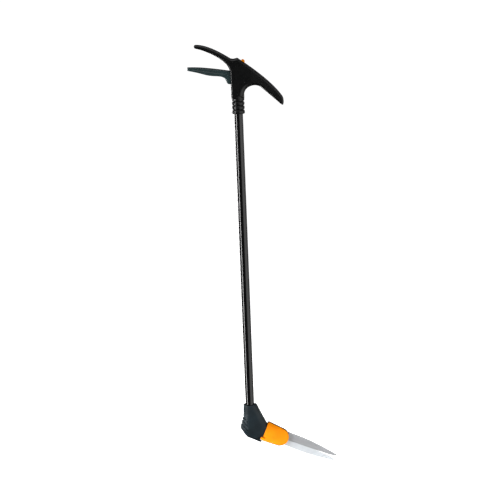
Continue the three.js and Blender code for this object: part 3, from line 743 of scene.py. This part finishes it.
# ---- Shaft ----
class SHEARS_OT_shaft(bpy.types.Operator):
    """The enamelled shaft tube, with softened end rims"""
    bl_idname = "shears.shaft"
    bl_label = "Shaft tube"

    def execute(self, context):
        rim = [(9.6, TUBE_BOTTOM), (10.6, TUBE_BOTTOM), (11.0, TUBE_BOTTOM + 0.4)]
        wall = [(11.0, z) for z in np.linspace(TUBE_BOTTOM + 2, TUBE_TOP - 2, 60)]
        top = [(11.0, TUBE_TOP - 0.4), (10.6, TUBE_TOP), (9.6, TUBE_TOP)]
        points, faces = turned(rim + wall + top, context.scene.shears_sizes.tube_sides)
        new_piece("shaft_tube_enamelled", points, faces, "tool_frame", finish("black_enamel"),
                  ("shaft_tube",), sharp=50)
        return {"FINISHED"}


# ---- Boot ----
CRANK_CHAMBER = [
    (-9, -747), (11, -747), (26, -763.5), (28, -774.5), (24.5, -783.5), (20, -795), (6, -795),
    (-6, -787.5), (-9, -777.5),
]


def ring_points(centre, a, b, count=40):
    """A ring: centre + a cos t + b sin t."""
    t = np.arange(count) * 2 * np.pi / count
    return np.asarray(centre) + np.outer(np.cos(t), a) + np.outer(np.sin(t), b)


def hull_planes(points):
    """Outward planes of the convex hull of some points, as unit normals and offsets."""
    bm = bmesh.new()
    for p in points:
        bm.verts.new(p)
    bmesh.ops.convex_hull(bm, input=bm.verts, use_existing_faces=False)
    middle = np.mean(points, 0)
    found = {}
    for f in bm.faces:
        n = np.array(f.normal)
        o = float(n @ np.array(f.verts[0].co))
        if n @ middle > o:
            n, o = -n, -o
        found[tuple(np.round([*n, o / 20], 2))] = (*n, o)
    bm.free()
    planes = np.array(list(found.values()))
    return planes[:, :3], planes[:, 3]


def hull_field(planes, x, y, z, soft):
    """A convex body as a soft greatest of its planes: soft x log(sum(exp(distance / soft)))."""
    normals, offsets = planes
    total = 0.0
    for n, o in zip(normals, offsets):
        d = n[0] * x + n[1] * y + n[2] * z - o
        total = total + np.exp(np.clip(d / soft, -30, 30))
    return soft * np.log(total)


SOLE_V = -31.2
GROOVE_HALF = 1.35
GROOVE_PITCH = 10.2


def boot_field(groove_depth):
    """The boot as one body: two convex bodies, neck and heel, blended together, cut by the
    cheeks and by a slanted facet behind each, joined to the sole's keel and toe, less three
    sloping grooves round the heel, a dip in the top rim and the room for the working parts."""
    face = ring_points(from_head([(0, 0, -3.8)])[0], (0, 22, 0), V_AXIS * 22)
    waist = ring_points((0, 0, -753.5), (17.4, 0, 0), (0, 16.8, 0))
    top = ring_points((0, 0, BOOT_TOP + 1), (16.6, 0, 0), (0, 15.8, 0))
    below_top = ring_points((0, 0, BOOT_TOP - 8), (16.7, 0, 0), (0, 15.9, 0))
    neck = hull_planes(np.concatenate([top, below_top, waist, face]))
    t = np.linspace(-np.pi / 2, np.pi / 2, 17)
    under = from_head(np.stack([-22 - 24 * np.cos(t), 14 * np.sin(t), np.full(17, -26.5)], 1))
    heel = hull_planes(np.concatenate([
        waist, ring_points((-4.4, 0, -785.5), (22.3, 0, 0), (0, 21.5, 0)), under, face]))

    def field(x, y, z):
        u, _, v = in_head(x, y, z)
        side = np.abs(y)
        body = smooth_join(hull_field(neck, x, y, z, 0.35), hull_field(heel, x, y, z, 0.35), 3.0)
        facet = (side - 20.2) * 0.866 - (x + 5.5) * 0.5
        cheek = side - 20.6
        body = smooth_cut(body, np.maximum(facet, cheek), 1.2)
        keel = np.maximum(box_field((u, side, v), (-46, -8, SOLE_V), (-2, 8, -18)),
                          (-v + SOLE_V) * 0.9 - (u + 34) * 0.45)
        toe = box_field((u, side, v), (-8, -8, SOLE_V), (3, 8, -28.9))
        body = np.maximum(smooth_join(body, keel, 1.6), u)
        body = smooth_join(body, toe, 0.8)
        for i in range(3):
            line = ((x + 10 + i) + (z + 765 + GROOVE_PITCH * i)) * 0.7071
            groove = np.maximum(np.abs(line) - GROOVE_HALF, -(body + groove_depth))
            groove = np.maximum(groove, x + 5.2 + 0.5 * i)
            body = smooth_cut(body, -groove, 0.5)
        reach = np.hypot(x, y)
        scallop = z - (BOOT_TOP - 4.6 * (y / 15.3) ** 2)
        body = smooth_cut(body, scallop, 1.0)
        cuts = [
            np.maximum(reach - 11.3, TUBE_BOTTOM - 0.3 - z),
            np.maximum(reach - 13.0, BOOT_TOP - 8.0 - z),
            np.maximum(outline_distance(CRANK_CHAMBER, x, z), side - 7.0),
            np.maximum(np.hypot(y, v) - 9.9, -15 - u),
            np.maximum(np.hypot(y, v) - 12.6, np.maximum(-14.6 - u, u + 11)),
            np.maximum(np.hypot(y, v + 16) - 2.8, -16 - u),
            screw_seats(BOOT_SCREWS, x, y, z, boot_screw_top),
        ]
        for cut in cuts:
            body = np.maximum(body, -cut)
        return body
    return field


class SHEARS_OT_boot(bpy.types.Operator):
    """Two boot shells: round neck, flat cheeks, heel with three grooves, and the sole"""
    bl_idname = "shears.boot"
    bl_label = "Boot shells"

    def execute(self, context):
        sizes = context.scene.shears_sizes
        whole = boot_field(sizes.groove_depth / MM)
        for side, name, low, high in ((-1, "right", -22.3, -0.15), (1, "left", 0.15, 22.3)):
            points, faces = surface_of(
                half_of(whole, side), (-28.0, low, -826.0), (43.5, high, BOOT_TOP + 1),
                mesh_step(sizes.boot_step))
            new_piece(f"boot_{name}_moulding", points, faces, "tool_frame",
                      finish("boot_nylon"), (f"boot_shell_{name}",))
        return {"FINISHED"}


# ---- Head ----
POD_U = [1.0, 20.0, 40.0, 63.5]
POD_WIDE = [26.4, 25.4, 24.4, 23.0]
POD_DEEP = [21.0, 17.0, 13.0, 9.0]


def tongue_field(u, v, rear, front):
    """The head from the side: straight flanks that draw in to a round end."""
    w = v - HEAD_MIDDLE_V
    slope = (rear - front) / 39.3
    flank = (np.abs(w) - front + (u - 40.3) * slope) / np.hypot(1, slope)
    end = np.hypot(u - 40.3, w) - front
    return np.where(u > 40.3, end, flank)


def pod_field(u, y, v, inset, soft):
    """The head's body: an ellipse across the swivel axis whose half width and half depth fall
    along it, cut by the tongue's outline with a rounded edge."""
    wide = np.interp(u, POD_U, POD_WIDE) - inset
    deep = np.interp(u, POD_U, POD_DEEP) - inset
    w = v - HEAD_MIDDLE_V
    r = np.hypot(y / deep, w / wide)
    slope = np.hypot(y / deep * wide, w / wide * deep) / np.maximum(r, 1e-6)
    oval = (r - 1.0) * deep * wide / np.maximum(slope, 1e-6)
    return smooth_cut(oval, tongue_field(u, v, 26.4 - inset, 23.4 - inset), soft)


def head_surface(field, low, high, step):
    """A surface meshed in the head's own frame, then set in place."""
    points, faces = surface_of(field, low, high, step)
    return from_head(points), faces


class SHEARS_OT_head(bpy.types.Operator):
    """The orange head cover with its rear tab, and the black under-shell"""
    bl_idname = "shears.head"
    bl_label = "Head cover and under-shell"

    def execute(self, context):
        step = mesh_step(context.scene.shears_sizes.boot_step)

        def cover(u, y, v):
            """The near side of the head's body, 2.4 thick, blended into a tab: part of a ring
            about the swivel axis."""
            shell = np.maximum(pod_field(u, y, v, 0.0, 3.2), -pod_field(u, y, v, 2.4, 1.0))
            shell = np.maximum(shell, np.maximum(y + 4.9, 0.9 - u))
            reach = np.hypot(y, v)
            angle = np.degrees(np.arctan2(-v, -y))
            tab = np.maximum.reduce(np.broadcast_arrays(
                np.abs(reach - 26.3) - 1.5, (np.abs(angle - 46) - 7) * 0.42, -3.2 - u, u - 7))
            return smooth_join(shell, tab, 1.6)

        points, faces = head_surface(cover, (-4, -22, -29.5), (64.5, -4.9, 26), step)
        new_piece("head_cover_moulding", points, faces, "swivel_head", finish("orange_plastic"),
                  ("head_cover",))

        def under(u, y, v):
            """The far side of the head's body, 2.4 thick, with a lower rim past the swivel and
            a round opening over the blades' nut."""
            shell = np.maximum(pod_field(u, y, v, 0.0, 3.0), -pod_field(u, y, v, 2.4, 1.0))
            rim = np.where(u < 33.5, -2.3 - y, 2.6 - y)
            shell = np.maximum(shell, np.maximum(rim, 0.9 - u))
            nut_well = np.hypot(u - BLADE_PIVOT_U, v) - 9.5
            return np.maximum(shell, -np.maximum(nut_well, 7.0 - y))

        points, faces = head_surface(under, (0.5, -2.6, -29), (64.5, 21.2, 26), step)
        new_piece("under_shell_moulding", points, faces, "swivel_head", finish("handle_nylon"),
                  ("under_shell",))
        return {"FINISHED"}


# ---- Blades ----
SPINE_EASE = 1.3


def blade_loops():
    """Outline of a blade with its tang, and the two holes in it, in u and v."""
    edge_u = np.linspace(66, 170, 40)
    outline = np.concatenate([
        arc(45, 0, 12, -105, -58, 10), [(63, -3)],
        np.stack([edge_u, np.interp(edge_u, [63, 170], [-3, 1.4])], 1),
        bezier((170, 1.4), (180, 2.33), (188.3, 4.4), (195, 7.6), 10),
        bezier((195, 7.6), (167, 12.2), (140.7, 15.3), (118, 16.9), 18),
        bezier((118, 16.9), (99.3, 17.9), (78.7, 18.1), (56, 17.4), 14),
        arc(45, 0, 12, 75, 99.6, 6), arc(28, 3, 6.2, 99.6, 126.5, 5),
        arc(22.9, -0.4, 5.9, 126.5, 255, 14),
    ])
    bolt = arc(BLADE_PIVOT_U, 0, 4.0, 0, 348, 30)
    slope = np.radians(30.6)
    ends = [(25.3 + s * 4.2 * np.cos(slope), 1.25 + s * 4.2 * np.sin(slope)) for s in (1, -1)]
    slot = np.concatenate([
        arc(*ends[0], 3.0, -59.4, 120.6, 10), arc(*ends[1], 3.0, 120.6, 300.6, 10)])
    return outline, bolt, slot


def blade_mesh(bevel):
    """A flat blade 2 mm thick: its outer face falls evenly to the cutting edge over the bevel's
    width, and by 0.6 to the spine over the ease, as far as the tip."""
    outline, bolt, slot = blade_loops()
    spine = outline[(outline[:, 0] > 62) & (outline[:, 1] > 7.5)][::-1]
    edge_u = np.array([60.0, 63.0, 170.0, 180.0, 188.3, 195.0])
    edge_v = np.array([-5.0, -3.0, 1.4, 2.6, 4.8, 7.6])

    def edge_distance(u, v):
        """Distance above the cutting edge."""
        return (v - np.interp(u, edge_u, edge_v)) * 0.998

    def outer(u, v):
        """Depth of the outer face: the full thickness, less the bevel and the spine's ease."""
        near = np.clip(edge_distance(u, v) / bevel, 0.0, 1.0)
        ground = np.where(u > 62.0, near, 1.0)
        eased = 1.0 - np.clip((np.interp(u, *spine.T) - v) / SPINE_EASE, 0.0, 1.0)
        depth = 0.25 + 1.75 * ground - 0.6 * eased * (u > 62.0)
        return -0.15 - np.maximum(depth, 0.2)

    def inner(u, v):
        """Depth of the flat inner face."""
        return np.full_like(u, -0.15)

    line_u = np.linspace(64, 180, 80)
    bevel_line = np.stack([line_u, np.interp(line_u, edge_u, edge_v) + bevel], 1)
    spine_line = spine - [0, SPINE_EASE]
    lines = [bevel_line, spine_line[spine_line[:, 0] < 170]]
    return plate([outline, bolt, slot], outer, inner, 1.8, lines=lines)


class SHEARS_OT_blades(bpy.types.Operator):
    """Both blades: the lower one is the upper one turned over"""
    bl_idname = "shears.blades"
    bl_label = "Blades"

    def execute(self, context):
        points, faces = blade_mesh(context.scene.shears_sizes.bevel_width / MM)
        # The front blade takes the painted shaded copy of the steel, the rear blade the painted lit
        # copy.
        new_piece("upper_blade_ground", from_head(points), faces, "upper_blade",
                  finish("blade_front_shaded"), ("blade_upper",), sharp=8)
        new_piece("lower_blade_ground", from_head(points * [1, -1, -1]), faces, "lower_blade",
                  finish("blade_rear_lit"), ("blade_lower",), sharp=8)
        return {"FINISHED"}


# ---- Fasteners ----
def screw_shape(head_r, top, length, shank_r, recess):
    """A pan-head screw about z: grid of ring and angle, dome of 0.35 mm, and a cross recess
    whose depth falls from the middle of each slot to its walls."""
    sides, dome = 64, 22
    rings = np.concatenate([
        np.linspace(0, head_r - 0.3, dome),
        [head_r - 0.08, head_r, head_r, shank_r, shank_r, shank_r * 0.6, 0]])
    a = np.arange(sides) * 2 * np.pi / sides
    x, z = np.outer(rings, np.cos(a)), np.outer(rings, np.sin(a))
    height = np.full(x.shape, top, float)
    flat = rings[:dome, None] * np.ones(sides)
    slot = np.clip((0.62 - np.minimum(np.abs(x[:dome]), np.abs(z[:dome]))) / 0.25, 0, 1)
    inside = np.clip((recess - flat) / 0.35, 0, 1)
    height[:dome] = top + 0.35 * (1 - (flat / head_r) ** 2) - 1.3 * slot * inside
    height[dome:] = np.array([
        top - 0.08, top - 0.4, top - 2.4, top - 2.4, top - length + 0.8, top - length,
        top - length])[:, None]
    points = np.stack([x, z, height], -1).reshape(-1, 3)
    return points, grid_faces(len(rings), sides)


class SHEARS_OT_fasteners(bpy.types.Operator):
    """Cross-head screws of the handle, the boot and the head"""
    bl_idname = "shears.fasteners"
    bl_label = "Screws"

    def execute(self, context):
        steel = finish("zinc_steel")
        groups = [("handle_screw", HANDLE_SCREWS, handle_screw_top),
                  ("boot_screw", BOOT_SCREWS, boot_screw_top)]
        for name, places, top in groups:
            for i, (x, z) in enumerate(places):
                shape, faces = screw_shape(3.6, top(x), top(x) + 8.6, 1.8, 2.3)
                new_piece(f"{name}_cross_head_{i + 1}", facing_y(shape, x, z), faces, "tool_frame",
                          steel, (f"{name}_{i + 1}",), sharp=35)
        for i, v in enumerate((17.6, -17.6)):
            shape, faces = screw_shape(2.3, 9.6, 10.4, 1.2, 1.5)
            points = from_head(facing_y(shape, 14.0, v))
            new_piece(f"shell_screw_cross_head_{i + 1}", points, faces, "swivel_head", steel,
                      (f"shell_screw_{i + 1}",), sharp=35)
        return {"FINISHED"}


class SHEARS_OT_mechanism(bpy.types.Operator):
    """Finishes for the working parts inside: rods, pins, crank, springs, guides and slider"""
    bl_idname = "shears.mechanism"
    bl_label = "Working parts"

    def execute(self, context):
        finishes = {
            "swivel_hub": "handle_nylon", "slider": "boot_nylon", "rod_guide_upper": "boot_nylon",
            "rod_guide_lower": "boot_nylon", "return_spring": "spring_steel",
            "detent_spring": "spring_steel", "detent_ball": "spring_steel",
            "tension_washer": "spring_steel",
        }
        for name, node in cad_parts.items():
            if node.hide_render:
                continue
            node.data.materials.clear()
            node.data.materials.append(finish(finishes.get(name, "zinc_steel")))
        return {"FINISHED"}


# ---- Stage ----
def area_light(name, at, aim, width, height, power):
    """A rectangular lamp at a point, aimed at another, its long side upright."""
    lamp = bpy.data.lights.new(name, "AREA")
    lamp.shape = "RECTANGLE"
    lamp.size, lamp.size_y = width, height
    lamp.energy = power
    holder = bpy.data.objects.new(name, lamp)
    bpy.context.scene.collection.objects.link(holder)
    holder.location = at
    holder.rotation_euler = (Vector(aim) - Vector(at)).to_track_quat("-Z", "Y").to_euler()
    return holder


def studio_world():
    """A white surround to the eye, dim in reflections and soft in its fill light."""
    world = bpy.data.worlds.new("studio")
    bpy.context.scene.world = world
    world.use_nodes = True
    tree = world.node_tree
    back = tree.nodes["Background"]
    path = tree.nodes.new("ShaderNodeLightPath")
    last = back
    back.inputs["Color"].default_value = (0.07, 0.07, 0.07, 1.0)
    for ray, level in (("Is Glossy Ray", 0.05), ("Is Camera Ray", 0.99)):
        pale = tree.nodes.new("ShaderNodeBackground")
        pale.inputs["Color"].default_value = (level, level, level, 1.0)
        mix = tree.nodes.new("ShaderNodeMixShader")
        tree.links.new(path.outputs[ray], mix.inputs["Fac"])
        tree.links.new(last.outputs[0], mix.inputs[1])
        tree.links.new(pale.outputs[0], mix.inputs[2])
        last = mix
    tree.links.new(last.outputs[0], tree.nodes["World Output"].inputs["Surface"])


class SHEARS_OT_stage(bpy.types.Operator):
    """Pale floor, soft lights and the camera"""
    bl_idname = "shears.stage"
    bl_label = "Stage"

    def execute(self, context):
        scene = context.scene
        scene.view_settings.view_transform = "Standard"
        studio_world()
        points, faces = turned([(0, 0), (400, 0), (3000, 0), (60000, 0)], 64, closed=False)
        mesh = bpy.data.meshes.new("floor")
        mesh.from_pydata((points + [0, 0, -1010]) * MM, [], faces.tolist())
        floor = bpy.data.objects.new("floor", mesh)
        scene.collection.objects.link(floor)
        m = Nodes("floor_paper", (0.85, 0.85, 0.85), 0.9, Specular_IOR_Level=0.1,
                  Emission_Color=(1, 1, 1, 1), Emission_Strength=1.0)
        m.bump(m.noise(300.0), 0.0001)
        mesh.materials.append(m.material)
        floor.visible_glossy = False
        area_light("strip_left", (-2.3, -1.15, -0.7), (0, 0, -0.7), 0.3, 4.4, 104)
        area_light("softbox_right", (2.4, -1.6, -0.6), (0, 0, -0.6), 4.0, 4.4, 70)
        area_light("strip_back_left", (-1.5, 2.2, -0.7), (0, 0, -0.7), 0.4, 4.4, 90)
        fill = area_light("softbox_left", (-2.6, -0.7, -0.3), (0, 0, -0.3), 1.6, 3.0, 150)
        fill.visible_glossy = False
        area_light("softbox_back_right", (1.9, 2.1, -0.6), (0, 0, -0.6), 2.4, 4.4, 22)
        area_light("softbox_top", (0.0, -0.6, 2.6), (0, 0, -0.35), 3.0, 3.0, 42)
        self.camera(scene)
        return {"FINISHED"}

    def camera(self, scene):
        """Seven metres off, nine degrees above the horizon, rolled by two degrees."""
        down, roll = np.radians(9.0), np.radians(2.21)
        forward = np.array([0, np.cos(down), -np.sin(down)])
        level, up = np.array([1.0, 0, 0]), np.array([0, np.sin(down), np.cos(down)])
        right = level * np.cos(roll) - up * np.sin(roll)
        top = level * np.sin(roll) + up * np.cos(roll)
        aim = np.array([0, 0, -0.35]) + right * 0.0173 + top * 0.0090
        data = bpy.data.cameras.new("camera")
        data.lens = 203.2
        data.sensor_width = 36.0
        data.clip_end = 200.0
        camera = bpy.data.objects.new("camera", data)
        scene.collection.objects.link(camera)
        turn = Matrix((right, top, -forward)).transposed()
        camera.matrix_world = Matrix.Translation(Vector(aim - forward * 7.0)) @ turn.to_4x4()
        scene.camera = camera


# ---- Add-on ----
class SHEARS_PT_panel(bpy.types.Panel):
    """Lists the pieces in the order in which they are built"""
    bl_idname = "SHEARS_PT_panel"
    bl_label = "Grass Shears"
    bl_space_type = "VIEW_3D"
    bl_region_type = "UI"
    bl_category = "Grass Shears"

    def draw(self, context):
        layout = self.layout
        for group in (context.scene.shears_sizes, context.scene.shears_colours):
            box = layout.box()
            for name in group.__annotations__:
                box.prop(group, name)
        for operator in OPERATORS:
            layout.operator(operator.bl_idname)


OPERATORS = (
    SHEARS_OT_stage, SHEARS_OT_handle, SHEARS_OT_lever, SHEARS_OT_lock_button, SHEARS_OT_shaft,
    SHEARS_OT_boot, SHEARS_OT_head, SHEARS_OT_blades, SHEARS_OT_fasteners, SHEARS_OT_mechanism,
)
CLASSES = (ShearsSizes, ShearsColours, *OPERATORS, SHEARS_PT_panel)


def register():
    for cls in CLASSES:
        bpy.utils.register_class(cls)
    bpy.types.Scene.shears_sizes = PointerProperty(type=ShearsSizes)
    bpy.types.Scene.shears_colours = PointerProperty(type=ShearsColours)


def unregister():
    del bpy.types.Scene.shears_sizes
    del bpy.types.Scene.shears_colours
    for cls in reversed(CLASSES):
        bpy.utils.unregister_class(cls)


def main():
    register()
    for operator in OPERATORS:
        group, name = operator.bl_idname.split(".")
        getattr(getattr(bpy.ops, group), name)()


if __name__ == "__main__":
    main()
